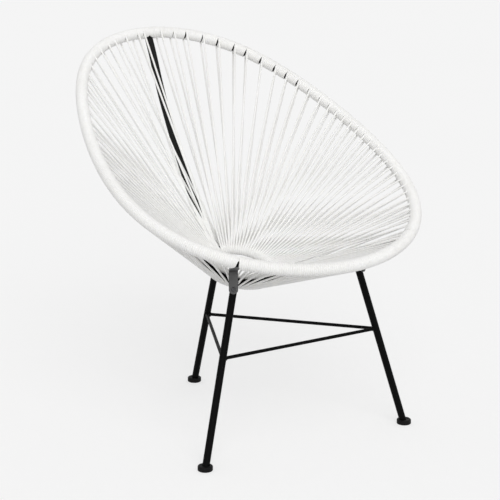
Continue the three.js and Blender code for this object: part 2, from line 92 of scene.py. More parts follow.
# Legs, stretchers and feet
LEG_RADIUS = 8
LEG_IN_FOOT = 3
LEG_RINGS = 24
LEG_RINGS_SHARE = 0.985
BACK_FOOT = (0, 199.2, 0)
BACK_TOP = (0, 86.8, 352)
FRONT_FOOT = (267.2, -298.3, 0)
FRONT_TOP = (159.8, -242, 392)
STRETCHER_RADIUS = 3.75
FRONT_JOINT_HEIGHT = 231
BACK_JOINT_HEIGHT = 189
BACK_JOINT_OFFSET = 1
STRETCHER_START = 3
STRETCHER_SIDES = 32
STRETCHER_RIPPLE = 0.03
STRETCHER_RINGS = 20
WELD_HEIGHT = 1.9
WELD_REACH = 1.5
WELD_END = 16
WELD_RINGS = 27
WELD_MARGIN = 20
FOOT_RADIUS = 16.5
FOOT_HEIGHT = 11
FOOT_LOWER_ROUND = 1.5
FOOT_UPPER_ROUND = 3
FOOT_SIDES = 64
# Radius of the tiny ring that closes a lathed end
CLOSED_END = 0.01
# The plug in a leg's upper end: how far inside the leg's radius and above its end each point lies
LEG_PLUG = ((0, -0.7), (0.2, -0.2), (0.7, 0), (1.4, 0), (1.6, -0.3), (1.8, 0.1), (3.5, 0.6))
LEG_PLUG_TOP = 0.9

# Flat bars and their bolts
BAR_WIDTH = 20
BAR_THICKNESS = 5
BAR_EDGE = 0.9
BAR_EDGE_STEPS = 5
BAR_EDGE_MARGIN = 0.5
BAR_SEGMENT = 6
BAR_TIP_DEGREES = 88
BAR_TIP_STEPS = 14
BAR_TIP_HALF_WIDTH = 0.02
BEND_RADIUS = 12
BEND_STEPS = 10
SEAT_GAP = 0.3
BACK_BAR_BOW = 29.5
BACK_BAR_STEPS = 72
BACK_BOLT_DROP = 24
BACK_BOW_SHARES = (0, 0.24, 0.57, 0.81, 0.97, 1, 0.85, 0.53, 0)
BACK_PLACE_SHARES = (0, 0.1, 0.2, 0.3, 0.45, 0.6, 0.75, 0.88, 1)
FRONT_BEND_HEIGHT = 418
FRONT_BAR_DROP = 7.5
FRONT_BOLT_HEIGHT = 377
FRONT_SEAT_HEIGHT = 368
BOLT_HEAD_RADIUS = 5.25
BOLT_HEAD_HEIGHT = 3.3
BOLT_FOOT_BEVEL = 0.25
BOLT_DOME_DEGREES = 55
BOLT_SOCKET_WIDTH = 4
BOLT_SOCKET_DEPTH = 2
LATHE_SIDES = 48

# Camera, from the photograph: angles in degrees, places in millimetres
CAMERA_AZIMUTH = -32.568
CAMERA_ELEVATION = 15.241
CAMERA_ROLL = 0.49
CAMERA_FOCAL_PIXELS = 1657.975
CAMERA_SIDE = -40.71
CAMERA_RISE = 398.20
CAMERA_DISTANCE = 3825.79
CAMERA_ORIGIN_Y = -132.5
CAMERA_CLIP = (0.1, 200)
SENSOR_WIDTH = 36
FRAME_PIXELS = 500

# Floor, in metres, and light. The lamps: name, azimuth, elevation, strength and breadth in degrees.
FLOOR_HALF = 60.0
FLOOR_CELLS = 8
FLOOR_LIT = (0.68, 0.68, 0.68, 1)
FLOOR_GLOW_SHARE = 0.56
WORLD_LEVEL = 0.57
WORLD_SEEN = 0.922
WHITE = (1.0, 1.0, 1.0, 1)
SUNS = (("key_light", -20, 45, 1.0, 40), ("front_light", -30, 16, 0.5, 28))

UP = np.array([0.0, 0.0, 1.0])
LEVEL = np.array([1.0, 1.0, 0.0])
rng = np.random.default_rng(11)


def vec(*values):
    return np.array(values, dtype=float)


def unit(vectors):
    vectors = np.asarray(vectors, dtype=float)
    return vectors / np.linalg.norm(vectors, axis=-1, keepdims=True)


def dots(a, b):
    return np.sum(a * b, axis=-1, keepdims=True)


def mixed(a, b, share):
    return a + (b - a) * share


def lengths_along(points):
    """The distance of each point from the first, along the line through them all."""
    steps = np.linalg.norm(np.diff(points, axis=0), axis=1)
    return np.concatenate([[0], np.cumsum(steps)])


# Centre lines of the hoop and the ring

def hoop_by_angle(angle):
    """Points of the hoop. Angle 0 is the middle of the back, and a quarter turn is at +X."""
    back = np.cos(angle)
    share = (back + 1) / 2
    egg = sum(part * back ** power for power, part in enumerate(HOOP_EGG))
    sag = 4 * HOOP_SAG * share * (1 - share) * (1 + HOOP_SAG_SKEW * back)
    rise = HOOP_FRONT_HEIGHT + (HOOP_BACK_HEIGHT - HOOP_FRONT_HEIGHT) * share
    x = HOOP_HALF_WIDTH * np.sin(angle) * egg
    return np.stack([x, HOOP_HALF_DEPTH * back, rise - sag], axis=-1)


HOOP_ANGLES = np.linspace(0, TURN, HOOP_TABLE_STEPS + 1)
HOOP_TABLE = lengths_along(hoop_by_angle(HOOP_ANGLES))
HOOP_LENGTH = HOOP_TABLE[-1]
SMALL_ANGLE = 1e-4


def hoop_at(arc):
    """Points and directions of the hoop at distances from the middle of the back, by the +X side."""
    angle = np.interp(np.mod(arc, HOOP_LENGTH), HOOP_TABLE, HOOP_ANGLES)
    way = hoop_by_angle(angle + SMALL_ANGLE) - hoop_by_angle(angle - SMALL_ANGLE)
    return hoop_by_angle(angle), unit(way)


def ring_at(angle):
    """Points and directions of the ring. Angle 0 is its back, and a quarter turn is at +X."""
    angle = np.asarray(angle, dtype=float)
    sine = np.sin(angle)
    back = RING_RADIUS * np.cos(angle)
    y = RING_Y + back * math.cos(RING_TILT)
    z = RING_HEIGHT + back * math.sin(RING_TILT)
    point = np.stack([RING_RADIUS * sine, y, z], axis=-1)
    way = np.stack([np.cos(angle), -sine * math.cos(RING_TILT), -sine * math.sin(RING_TILT)], axis=-1)
    return point, way


def side_arcs(marks):
    """Distances of one side's stations from the middle of the back.

    The last one lies half a pitch before the middle of the front.
    """
    side_pitch = (FRONT_SPAR_ARC - SPAR_GAP_ON_SIDE - marks[-1]) / SIDE_COUNT
    sides = [marks[-1] + i * side_pitch for i in range(1, SIDE_COUNT + 1)]
    first = FRONT_SPAR_ARC + SPAR_GAP_ON_FRONT
    front_pitch = (HOOP_LENGTH / 2 - first) / (FRONT_COUNT - 0.5)
    return [*marks, *sides, *(first + i * front_pitch for i in range(FRONT_COUNT))]


RIGHT_ARCS = side_arcs(BACK_MARKS_RIGHT)
LEFT_ARCS = [HOOP_LENGTH - arc for arc in reversed(side_arcs(BACK_MARKS_LEFT))]
STATION_COUNT = len(RIGHT_ARCS + LEFT_ARCS)
STATIONS = np.array(RIGHT_ARCS + LEFT_ARCS)
STATIONS = STATIONS + rng.uniform(-STATION_JITTER, STATION_JITTER, STATION_COUNT)
RING_STEP = TURN / STATION_COUNT
RING_PLACES = RING_STEP * (np.arange(STATION_COUNT) + 0.5)

# Steps along the ring by which some strands near the back bar lie off their regular places, by
# station. On the bar's right side the shift of the upper strands fades out up to FADING_COUNT.
FADING_SHIFT = -3.5
FADING_COUNT = 26
UPPER_SHIFTS = {i: FADING_SHIFT * (1 - i / FADING_COUNT) for i in range(FADING_COUNT)}
UPPER_SHIFTS.update({82: 1, 83: -2.25, 84: -5.25, 85: -4, 86: -4.25, 87: -7})
LOWER_SHIFTS = {81: 1.5, 82: 2.5, 83: 3.5, 84: 3.5, 85: 3.5, 86: -6.5}
RING_SHIFTS = {1: UPPER_SHIFTS, -1: LOWER_SHIFTS}

# The stations' places over three laps, so that they can be read off between any two stations
LAPS = (-1, 0, 1)
LONG_STATIONS = np.concatenate([STATIONS + lap * HOOP_LENGTH for lap in LAPS])
LONG_PLACES = np.concatenate([RING_PLACES + lap * TURN for lap in LAPS])


def hoop_frame(arc):
    """Points of the hoop with three directions: along it, towards the seat's inner side, and inward."""
    point, way = hoop_at(arc)
    place = np.interp(arc, LONG_STATIONS, LONG_PLACES)
    run = unit(ring_at(place)[0] - point)
    upper = unit(np.cross(run, way))
    return point, way, upper, np.cross(way, upper)


def ring_frame(place, run):
    """A point of the ring and, for a strand that comes along run, its upper side and the way inward."""
    point, way = ring_at(place)
    upper = unit(np.cross(run, way))
    return point, upper, unit(run - dots(run, way) * way)


# Legs and bars

FRONT_LEG = (vec(*FRONT_FOOT), vec(*FRONT_TOP))
LEGS = {
    "back": (vec(*BACK_FOOT), vec(*BACK_TOP)),
    "front_left": tuple(end * vec(-1, 1, 1) for end in FRONT_LEG),
    "front_right": FRONT_LEG,
}
SPAR_ARCS = {"back": 0.0, "front_right": FRONT_SPAR_ARC, "front_left": HOOP_LENGTH - FRONT_SPAR_ARC}


def leg_at(name, height):
    """The point at a height on a leg's middle line."""
    foot, top = LEGS[name]
    return foot + (top - foot) * height / (top[2] - foot[2])


class BarPlane:
    """The upright plane that a bar runs in. Places in it are a run from the hoop and a height.

    The bar's tab lies on the outer side of the leg. outer is 1 where the way along the plane points
    outward there, and -1 where it points inward.
    """

    def __init__(self, start, along, leg, seat_height, outer):
        foot, top = LEGS[leg]
        slope = (top - foot) / (top[2] - foot[2])
        self.start = start
        self.along = along
        self.seat_run = float(np.dot(leg_at(leg, seat_height) - start, along))
        self.seat_height = seat_height
        self.lean = float(np.dot(slope, along))
        length = math.hypot(1, self.lean)
        self.out_run = outer / length
        self.out_rise = -outer * self.lean / length
        self.offset = LEG_RADIUS + SEAT_GAP + BAR_THICKNESS / 2
        self.across = np.cross(along, UP)
        self.outward = along * self.out_run + UP * self.out_rise
        self.tab_up = (along * self.lean + UP) / length

    def tab_at(self, height):
        """The place of the tab's middle at a height."""
        rise = height - self.seat_height - self.out_rise * self.offset
        return vec(self.seat_run + self.out_run * self.offset + self.lean * rise, height)

    def to_space(self, place):
        place = np.atleast_2d(place)
        return self.start * LEVEL + place[:, :1] * self.along + place[:, 1:] * UP


def catmull_rom(knots, count):
    """Points on a smooth curve through evenly weighted knots."""
    knots = np.asarray(knots)
    last = len(knots) - 1
    points = []
    for share in np.linspace(0, 1, count + 1):
        place = share * last
        i = min(int(place), last - 1)
        w = place - i
        p0, p1, p2, p3 = (knots[min(max(i + k, 0), last)] for k in (-1, 0, 1, 2))
        v0 = (p2 - p0) / 2
        v1 = (p3 - p1) / 2
        cubic = (2 * p1 - 2 * p2 + v0 + v1) * w ** 3 + (-3 * p1 + 3 * p2 - 2 * v0 - v1) * w ** 2
        points.append(cubic + v0 * w + p1)
    return np.array(points)


def rounded_path(run, corner, tab_end):
    """A bar's run with the bend that follows it at the corner, as far as the start of the tab."""
    before = corner + unit(run[-1] - corner) * BEND_RADIUS
    after = corner + unit(tab_end - corner) * BEND_RADIUS
    shares = np.linspace(0, 1, BEND_STEPS + 1)
    bend = [mixed(mixed(before, corner, t), mixed(corner, after, t), t) for t in shares]
    return np.array([*run, *bend])


def back_bar():
    start = hoop_at(SPAR_ARCS["back"])[0]
    bolt_height = BACK_TOP[2] - BACK_BOLT_DROP
    plane = BarPlane(start, vec(0, 1, 0), "back", bolt_height, 1)
    bolt = plane.tab_at(bolt_height)
    corner = plane.tab_at(BACK_TOP[2])
    line = corner - vec(0, start[2])
    square = unit(vec(-line[1], line[0]))
    knots = [
        vec(0, start[2]) + line * place + square * BACK_BAR_BOW * bow
        for place, bow in zip(BACK_PLACE_SHARES, BACK_BOW_SHARES)
    ]
    bow = catmull_rom(knots, BACK_BAR_STEPS)
    run = [point for point in bow if np.linalg.norm(point - corner) > BEND_RADIUS + BAR_THICKNESS]
    return plane, bolt, rounded_path(run, corner, bolt)


def front_bar(name):
    start = hoop_at(SPAR_ARCS[name])[0]
    along = unit((leg_at(name, FRONT_SEAT_HEIGHT) - start) * LEVEL)
    plane = BarPlane(start, along, name, FRONT_SEAT_HEIGHT, -1)
    bolt = plane.tab_at(FRONT_BOLT_HEIGHT)
    run = [vec(0, start[2] - FRONT_BAR_DROP)]
    return plane, bolt, rounded_path(run, plane.tab_at(FRONT_BEND_HEIGHT), bolt)


BARS = {
    "back": back_bar(),
    "front_left": front_bar("front_left"),
    "front_right": front_bar("front_right"),
}
BAR_SEARCH_STEPS = 40


def bar_angle(name):
    """The direction, round the hoop, in which a bar comes out between the cord's turns."""
    plane, _, path = BARS[name]
    point, _, upper, inward = hoop_frame(SPAR_ARCS[name])
    dense = np.concatenate([np.linspace(a, b, BAR_SEARCH_STEPS) for a, b in zip(path, path[1:])])
    offsets = plane.to_space(dense) - point
    reach = np.linalg.norm(offsets, axis=1)
    leaving = offsets[np.argmax(reach > CORD_REACH)]
    return math.atan2(float(np.dot(leaving, upper)), float(np.dot(leaving, inward)))


# Meshes

# The length, in metres, that each face of a closed tube and each step of a bar takes up in its UVs
CLOSED_UV_STEP = 0.002
BAR_UV_STEP = 0.005
# A direction that no lathed piece has
ASKEW = vec(0.31, 0.95, 0.05)


class Surface:
    """Points and faces gathered for one piece, with the length and the turn of each as its UVs."""

    def __init__(self):
        self.verts = []
        self.faces = []
        self.uvs = []
        self.count = 0

    def sweep(self, centres, normals, wide, high, sides, closed=False):
        """A tube along centres. wide and high are half sizes, across and along the normals."""
        if closed:
            ways = unit(np.roll(centres, -1, axis=0) - np.roll(centres, 1, axis=0))
        else:
            ways = unit(np.gradient(centres, axis=0))
        normals = unit(normals - dots(normals, ways) * ways)
        across = np.cross(normals, ways)
        turns = TURN * np.arange(sides)[None, :, None] / sides
        wide = np.broadcast_to(wide, len(centres))[:, None, None]
        points = centres[:, None] + across[:, None] * np.cos(turns) * wide
        points = points + normals[:, None] * np.sin(turns) * high
        self.add_rings(points, lengths_along(centres) * MILLIMETRE, closed)

    def add_rings(self, points, lengths, closed=False, caps=False):
        """Rows of points with the same number in each, joined by faces."""
        lengths = np.asarray(lengths)
        rings, sides = points.shape[:2]
        rows = rings if closed else rings - 1
        i = np.repeat(np.arange(rows), sides)
        j = np.tile(np.arange(sides), rows)
        ahead = (i + 1) % rings
        turn = (j + 1) % sides
        row = i * sides
        next_row = ahead * sides
        quads = np.stack([row + j, row + turn, next_row + turn, next_row + j], axis=1)
        here = lengths[i]
        there = here + CLOSED_UV_STEP if closed else lengths[ahead]
        low = j / sides
        high = (j + 1) / sides
        uvs = np.stack([here, low, here, high, there, high, there, low], axis=1).reshape(-1, 2)
        self.verts.append(points.reshape(-1, 3))
        self.faces += (quads + self.count).tolist()
        self.uvs.append(uvs)
        if caps:
            first = list(range(self.count + sides - 1, self.count - 1, -1))
            last = list(range(self.count + (rings - 1) * sides, self.count + rings * sides))
            self.faces += [first, last]
            self.uvs.append(np.zeros((2 * sides, 2)))
        self.count += rings * sides

    def lathe(self, origin, direction, profile, sides=LATHE_SIDES, ripple=0.0, first_side=ASKEW):
        """A piece about a line. profile holds pairs of radius and distance along the line.

        A radius may be one for each side. ripple is the share by which it wavers round the line, and
        the first point of each row lies square to first_side.
        """
        direction = unit(direction)
        side = unit(np.cross(direction, first_side))
        other = np.cross(direction, side)
        turns = TURN * np.arange(sides) / sides
        round_way = np.cos(turns)[:, None] * side + np.sin(turns)[:, None] * other
        rows = []
        for radius, reach in profile:
            wave = 1 + ripple * np.sin(7 * turns + reach) * np.sin(3 * turns + 0.7)
            rows.append(origin + direction * reach + round_way * (radius * wave)[:, None])
        self.add_rings(np.array(rows), [reach * MILLIMETRE for _, reach in profile])

    def build(self, name, material, slot, replaced):
        """Make the piece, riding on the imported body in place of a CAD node."""
        mesh = bpy.data.meshes.new(name)
        mesh.from_pydata((np.concatenate(self.verts) * MILLIMETRE).tolist(), [], self.faces)
        mesh.polygons.foreach_set("use_smooth", [True] * len(mesh.polygons))
        layer = mesh.uv_layers.new(name="along")
        layer.data.foreach_set("uv", np.concatenate(self.uvs).astype(np.float32).ravel())
        mesh.materials.append(material)
        mesh.update()
        piece = bpy.data.objects.new(name, mesh)
        bpy.context.scene.collection.objects.link(piece)
        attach(piece, "root")
        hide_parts(replaced)


# Materials

def new_material(name):
    material = bpy.data.materials.new(name)
    material.use_nodes = True
    tree = material.node_tree
    return material, tree, tree.nodes["Principled BSDF"]


def set_inputs(tree, target, values):
    """Set a node's inputs by name or number, each to a value or from another node's output."""
    for key, value in values.items():
        if isinstance(value, bpy.types.NodeSocket):
            tree.links.new(value, target.inputs[key])
        else:
            target.inputs[key].default_value = value


def node(tree, kind, inputs, **settings):
    made = tree.nodes.new(kind)
    for key, value in settings.items():
        setattr(made, key, value)
    set_inputs(tree, made, inputs)
    return made


def coordinates(tree, kind):
    return node(tree, "ShaderNodeTexCoord", {}).outputs[kind]


def noise(tree, vector, scale, detail=3.0, roughness=0.55):
    values = {"Vector": vector, "Scale": scale, "Detail": detail, "Roughness": roughness}
    return node(tree, "ShaderNodeTexNoise", values).outputs["Fac"]


def streaks(tree, scale):
    """Noise that is stretched along the piece's UVs."""
    values = {"Vector": coordinates(tree, "UV"), "Scale": scale}
    return noise(tree, node(tree, "ShaderNodeMapping", values).outputs["Vector"], 1.0, 2.0)


def ramp(tree, factor, stops):
    made = node(tree, "ShaderNodeValToRGB", {"Fac": factor})
    elements = made.color_ramp.elements
    while len(elements) < len(stops):
        elements.new(0.5)
    for element, (place, colour) in zip(elements, stops):
        element.position = place
        element.color = (*colour, 1)
    return made.outputs["Color"]


def spread(tree, value, low, high, to_low, to_high):
    values = {"Value": value, "From Min": low, "From Max": high, "To Min": to_low, "To Max": to_high}
    return node(tree, "ShaderNodeMapRange", values).outputs["Result"]


def bump(tree, height, strength, distance, under=None):
    values = {"Height": height, "Strength": strength, "Distance": distance}
    if under is not None:
        values["Normal"] = under
    return node(tree, "ShaderNodeBump", values).outputs["Normal"]


def arithmetic(tree, operation, first, second):
    return node(tree, "ShaderNodeMath", {0: first, 1: second}, operation=operation).outputs["Value"]


def mixed_colour(tree, share, first, second, blend="MIX"):
    """Two colours mixed. The node's sockets 1 to 5 are for other kinds of value."""
    values = {0: share, 6: first, 7: second}
    return node(tree, "ShaderNodeMix", values, data_type="RGBA", blend_type=blend).outputs[2]


def mixed_shader(tree, share, first, second):
    return node(tree, "ShaderNodeMixShader", {0: share, 1: first, 2: second}).outputs["Shader"]


def cord_material():
    """Smooth white vinyl cord, a little uneven along its length, with fine lines from its die."""
    material, tree, shader = new_material("white_vinyl_cord")
    place = coordinates(tree, "Object")
    broad = noise(tree, place, 7.0, 2.0)
    fine = noise(tree, place, 160.0)
    grain = noise(tree, place, 900.0, 2.0)
    white = ramp(tree, broad, [
        (0.30, (0.900, 0.894, 0.878)),
        (0.52, (0.925, 0.921, 0.908)),
        (0.74, (0.940, 0.938, 0.928)),
    ])
    specks = ramp(tree, fine, [(0.30, (0.96, 0.96, 0.955)), (0.55, (1.0, 1.0, 1.0))])
    lined = bump(tree, streaks(tree, (6.0, 26.0, 1.0)), 0.35, 0.0003)
    set_inputs(tree, shader, {
        "Base Color": mixed_colour(tree, 1.0, white, specks, "MULTIPLY"),
        "Roughness": spread(tree, fine, 0.3, 0.7, 0.30, 0.44),
        "Normal": bump(tree, grain, 0.25, 0.00006, lined),
        "IOR": 1.5,
        "Specular IOR Level": 0.42,
        "Subsurface Weight": 0.06,
        "Subsurface Radius": (0.004, 0.004, 0.0035),
        "Subsurface Scale": 0.5,
    })
    return material


FLECK_GAIN = 3.2


def paint_material(name, dark, light, rough, gloss):
    """Black powder coat on steel, with its fine orange peel and a few lighter flecks."""
    material, tree, shader = new_material(name)
    place = coordinates(tree, "Object")
    broad = noise(tree, place, 14.0, 4.0)
    peel = noise(tree, place, 950.0, 2.0, 0.5)
    dust = noise(tree, place, 320.0, 5.0, 0.7)
    coat = ramp(tree, broad, [(0.32, dark), (0.70, light)])
    grey = tuple(FLECK_GAIN * part for part in light)
    flecks = ramp(tree, dust, [(0.66, (0.0, 0.0, 0.0)), (0.80, grey)])
    coarse = bump(tree, dust, 0.12, 0.0001)
    set_inputs(tree, shader, {
        "Base Color": mixed_colour(tree, 1.0, coat, flecks, "ADD"),
        "Roughness": spread(tree, broad, 0.3, 0.7, *rough),
        "Normal": bump(tree, peel, 0.30, 0.00008, coarse),
        "Specular IOR Level": gloss,
    })
    return material


def rubber_material():
    """Moulded black plastic of the feet, dull and scuffed towards the floor."""
    material, tree, shader = new_material("black_moulded_foot")
    place = coordinates(tree, "Object")
    height = node(tree, "ShaderNodeSeparateXYZ", {"Vector": place}).outputs["Z"]
    scuff = noise(tree, place, 420.0, 5.0, 0.65)
    grain = noise(tree, place, 1600.0, 2.0)
    worn = arithmetic(tree, "ADD", scuff, spread(tree, height, 0.0, 0.006, 0.30, -0.10))
    colour = ramp(tree, worn, [
        (0.30, (0.0032, 0.0032, 0.0034)),
        (0.72, (0.0060, 0.0060, 0.0062)),
        (0.90, (0.022, 0.022, 0.0215)),
    ])
    set_inputs(tree, shader, {
        "Base Color": colour,
        "Roughness": spread(tree, worn, 0.3, 0.9, 0.50, 0.78),
        "Normal": bump(tree, grain, 0.35, 0.00008),
        "Specular IOR Level": 0.12,
    })
    return material


def bolt_material():
    """Blackened steel screw, with faint turning lines."""
    material, tree, shader = new_material("blackened_bolt")
    mottle = noise(tree, coordinates(tree, "Object"), 700.0, 4.0, 0.6)
    colour = ramp(tree, mottle, [(0.3, (0.045, 0.045, 0.048)), (0.7, (0.11, 0.11, 0.115))])
    set_inputs(tree, shader, {
        "Base Color": colour,
        "Roughness": spread(tree, mottle, 0.3, 0.7, 0.24, 0.38),
        "Normal": bump(tree, streaks(tree, (9000.0, 2.0, 1.0)), 0.2, 0.00005),
        "Metallic": 0.85,
    })
    return material


TUBE_DARK = (0.0014, 0.0014, 0.0015)
TUBE_LIGHT = (0.0023, 0.0023, 0.0024)
# The front bars have the same black powder coat as the tubes. Their colour here is about ten times
# lighter, and that lift is a painted sheen standing in for the frontal light their flat faces reflect.
TAB_PAINTED_SHEEN_DARK = (0.014, 0.014, 0.0143)
TAB_PAINTED_SHEEN_LIGHT = (0.021, 0.021, 0.0215)
CORD = cord_material()
TUBE_PAINT = paint_material("black_powder_coat_tube", TUBE_DARK, TUBE_LIGHT, (0.48, 0.60), 0.06)
TAB_PAINT_WITH_PAINTED_SHEEN = paint_material("black_powder_coat_tab_painted_sheen", TAB_PAINTED_SHEEN_DARK, TAB_PAINTED_SHEEN_LIGHT, (0.42, 0.54), 0.8)
BAR_PAINT = paint_material("black_powder_coat_bar", TUBE_DARK, TUBE_LIGHT, (0.40, 0.52), 0.20)
RUBBER = rubber_material()
BOLT = bolt_material()


# The cord

# How many points it has round the ring, on the bend off it, on the run to the hoop, and on the
# bend to the winding. It is wider from the ring as far as the second point of its run.
LOOP_POINTS = 6
RING_BEND_POINTS = 3
RUN_POINTS = 9
HOOP_BEND_POINTS = 4
WIDE_POINTS = LOOP_POINTS + RING_BEND_POINTS + 2
NARROWING = ((LOOP_POINTS, WIDE_POINTS - 1), (RING_SPREAD, CORD_RADIUS))
RING_WIDTHS = np.interp(np.arange(WIDE_POINTS), *NARROWING)

# A run is straight but for this length at both ends. It leaves the ring at an angle from its upper
# side, and meets the winding a part of a turn after the hoop's upper side, a quarter turn round.
BEND_ROOM = 9.0
RING_TURN_FREE = math.radians(22)
STRAND_TURN = 0.25
WRAP_TURN_FREE = 0.09

# The turns part on both sides of a bar, and pile up a little there. How wide they part is given as
# shares by the degrees round the hoop from the bar, and then how many turns lie on each side of it.
SPAR_PART_WIDTH = BAR_WIDTH / 2 + CORD_RADIUS + CORD_GAP
SPAR_PILE = 1.2
BACK_PARTING = ((0, 12, 34), (1, 1, 0))
FRONT_PARTING = ((0, 45, 62, 80, 100, 145, 170), (1, 1, 0.85, 0.42, 0.28, 0.17, 0))
PARTINGS = {"back": BACK_PARTING, "front_left": FRONT_PARTING, "front_right": FRONT_PARTING}
SPAR_TURNS = {"back": (4, 6), "front_left": (4, 6), "front_right": (6, 4)}

# At a station the turns leave a gap, the mark, which shows the tube. How open the marks are that
# aren't fully open, by station. The turn beside an open mark is round, and the one beside a closed
# mark is wider and lies closer. The reaches of both are in turns.
MARK_DEPTHS = {0: 0, 1: 0.2, 2: 0.8, 3: 0.6, 84: 0.4, 85: 0.4, 86: 0.4, 87: 0.4}
MARK_DEPTHS.update({11: 0.1, 12: 0.1, 13: 0.3, 14: 0.3, 15: 0.4, 16: 0.6})
MARK_TURN = 0.17
MARK_CLOSE_TURN = 0.35
MARK_CLOSE_SPREAD = 1.1
MARK_CLOSE_SHIFT = 0.7

# The winding goes from round to pressed over its first part of a turn, or at once by a closed mark
FLATTEN_TURNS = 0.25
CLOSED_MARK_FLAT = 2


def inner_shares(count):
    """Evenly spaced shares between nought and one, without these two."""
    return np.linspace(0, 1, count + 2)[1:-1, None]


def hermite(start, start_way, end, end_way, count):
    """Points between two ends, without them, on a curve with those directions."""
    t = inner_shares(count)
    span = np.linalg.norm(end - start)
    a = 2 * t ** 3 - 3 * t ** 2 + 1
    b = (t ** 3 - 2 * t ** 2 + t) * span
    c = 3 * t ** 2 - 2 * t ** 3
    d = (t ** 3 - t ** 2) * span
    return a * start + b * start_way + c * end + d * end_way


def strand(station, side):
    """The cord from the ring's inner side to the hoop, over both for side 1 and under them for -1."""
    arc = STATIONS[station] + side * STRAND_APART
    place = RING_PLACES[station] + RING_STEP * RING_SHIFTS[side].get(station, 0)
    point, _, upper, _ = (part[0] for part in hoop_frame(np.array([arc])))
    ring_point, ring_upper, ring_inward = ring_frame(place, unit(ring_at(place)[0] - point))
    hoop_end = point + side * upper * CORD_REACH
    ring_end = ring_point + side * ring_upper * CORD_REACH
    line_way = unit(hoop_end - ring_end)
    near = ring_end + line_way * BEND_ROOM
    far = hoop_end - line_way * BEND_ROOM
    turns = np.linspace(math.pi / 2, RING_TURN_FREE, LOOP_POINTS)[:, None]
    loop_normals = np.cos(turns) * side * ring_upper + np.sin(turns) * ring_inward
    loop = ring_point + CORD_REACH * loop_normals
    bend = hermite(loop[-1], unit(loop[-1] - loop[-2]), near, line_way, RING_BEND_POINTS)
    shares = np.linspace(0, 1, RUN_POINTS)[:, None]
    wander = rng.normal(0, STRAND_WANDER, 2)
    wander_way = wander[0] * upper + wander[1] * np.cross(line_way, upper)
    line = mixed(near, far, shares) + np.sin(shares * math.pi) * wander_way
    line_normals = unit(mixed(side * ring_upper, side * upper, shares))
    bend_normals = np.repeat(line_normals[:1], RING_BEND_POINTS, axis=0)
    points = np.concatenate([loop, bend, line])
    return points, np.concatenate([loop_normals, bend_normals, line_normals]), line_way


def near_mark(from_station, reach):
    """One at the turn beside a station's mark, falling to nought beyond the reach. All in turns."""
    return np.exp(-(((from_station - 1) / reach) ** 2))


def winding(depths, start_arc, end_arc, crossed):
    """The cord's turns on the hoop between two stations, parted round a bar where there is one.

    Turns count from the hoop's inner side. depths says how open the marks at the two stations are.
    """
    if crossed is None:
        count = max(2, round((end_arc - start_arc) / WRAP_PITCH))
        knots_turn = [0, count]
        knots_arc = [start_arc, end_arc]
    else:
        name, spar_arc = crossed
        before, after = SPAR_TURNS[name]
        away = bar_angle(name)
        count = before + after + 1
        knots_turn = [0, before + ((away + math.pi) / TURN) % 1, count]
        knots_arc = [start_arc, spar_arc, end_arc]
    first_turn = STRAND_TURN + WRAP_TURN_FREE
    turns = np.append(np.arange(first_turn, count - first_turn, 1 / WRAP_STEPS), count - first_turn)
    arcs = np.interp(turns, knots_turn, knots_arc)
    pitches = np.gradient(arcs, turns)
    reach = np.full(len(turns), CORD_REACH)
    weight = np.zeros(len(turns))
    if crossed is not None:
        apart = (TURN * turns - away + math.pi) % TURN - math.pi
        weight = np.interp(np.degrees(np.abs(apart)), *PARTINGS[name])
        distance = arcs - spar_arc
        room = np.where(distance < 0, spar_arc - start_arc, end_arc - spar_arc)
        moved = SPAR_PART_WIDTH * weight + np.abs(distance) * (1 - SPAR_PART_WIDTH * weight / room)
        arcs = spar_arc + np.sign(distance) * moved
        layer = np.round(turns - away / TURN).astype(int) % 2
        reach = reach + layer * weight * SPAR_PILE
    first_half = turns < count / 2
    from_end = np.minimum(turns - turns[0], turns[-1] - turns)
    from_station = np.minimum(turns, count - turns)
    opened = np.where(first_half, *depths)
    closing = (1 - opened) * near_mark(from_station, MARK_CLOSE_TURN)
    flat = np.clip(from_end / FLATTEN_TURNS + CLOSED_MARK_FLAT * (1 - opened), 0, 1)
    flat = flat * (1 - weight) * (1 - opened * near_mark(from_station, MARK_TURN))
    wide = mixed(CORD_RADIUS, WRAP_SPREAD * pitches, flat) + MARK_CLOSE_SPREAD * closing
    arcs = arcs + np.where(first_half, -MARK_CLOSE_SHIFT, MARK_CLOSE_SHIFT) * closing
    point, _, upper, inward = hoop_frame(arcs)
    angle = (TURN * turns)[:, None]
    normals = np.cos(angle) * inward + np.sin(angle) * upper
    return point + reach[:, None] * normals, normals, wide, arcs


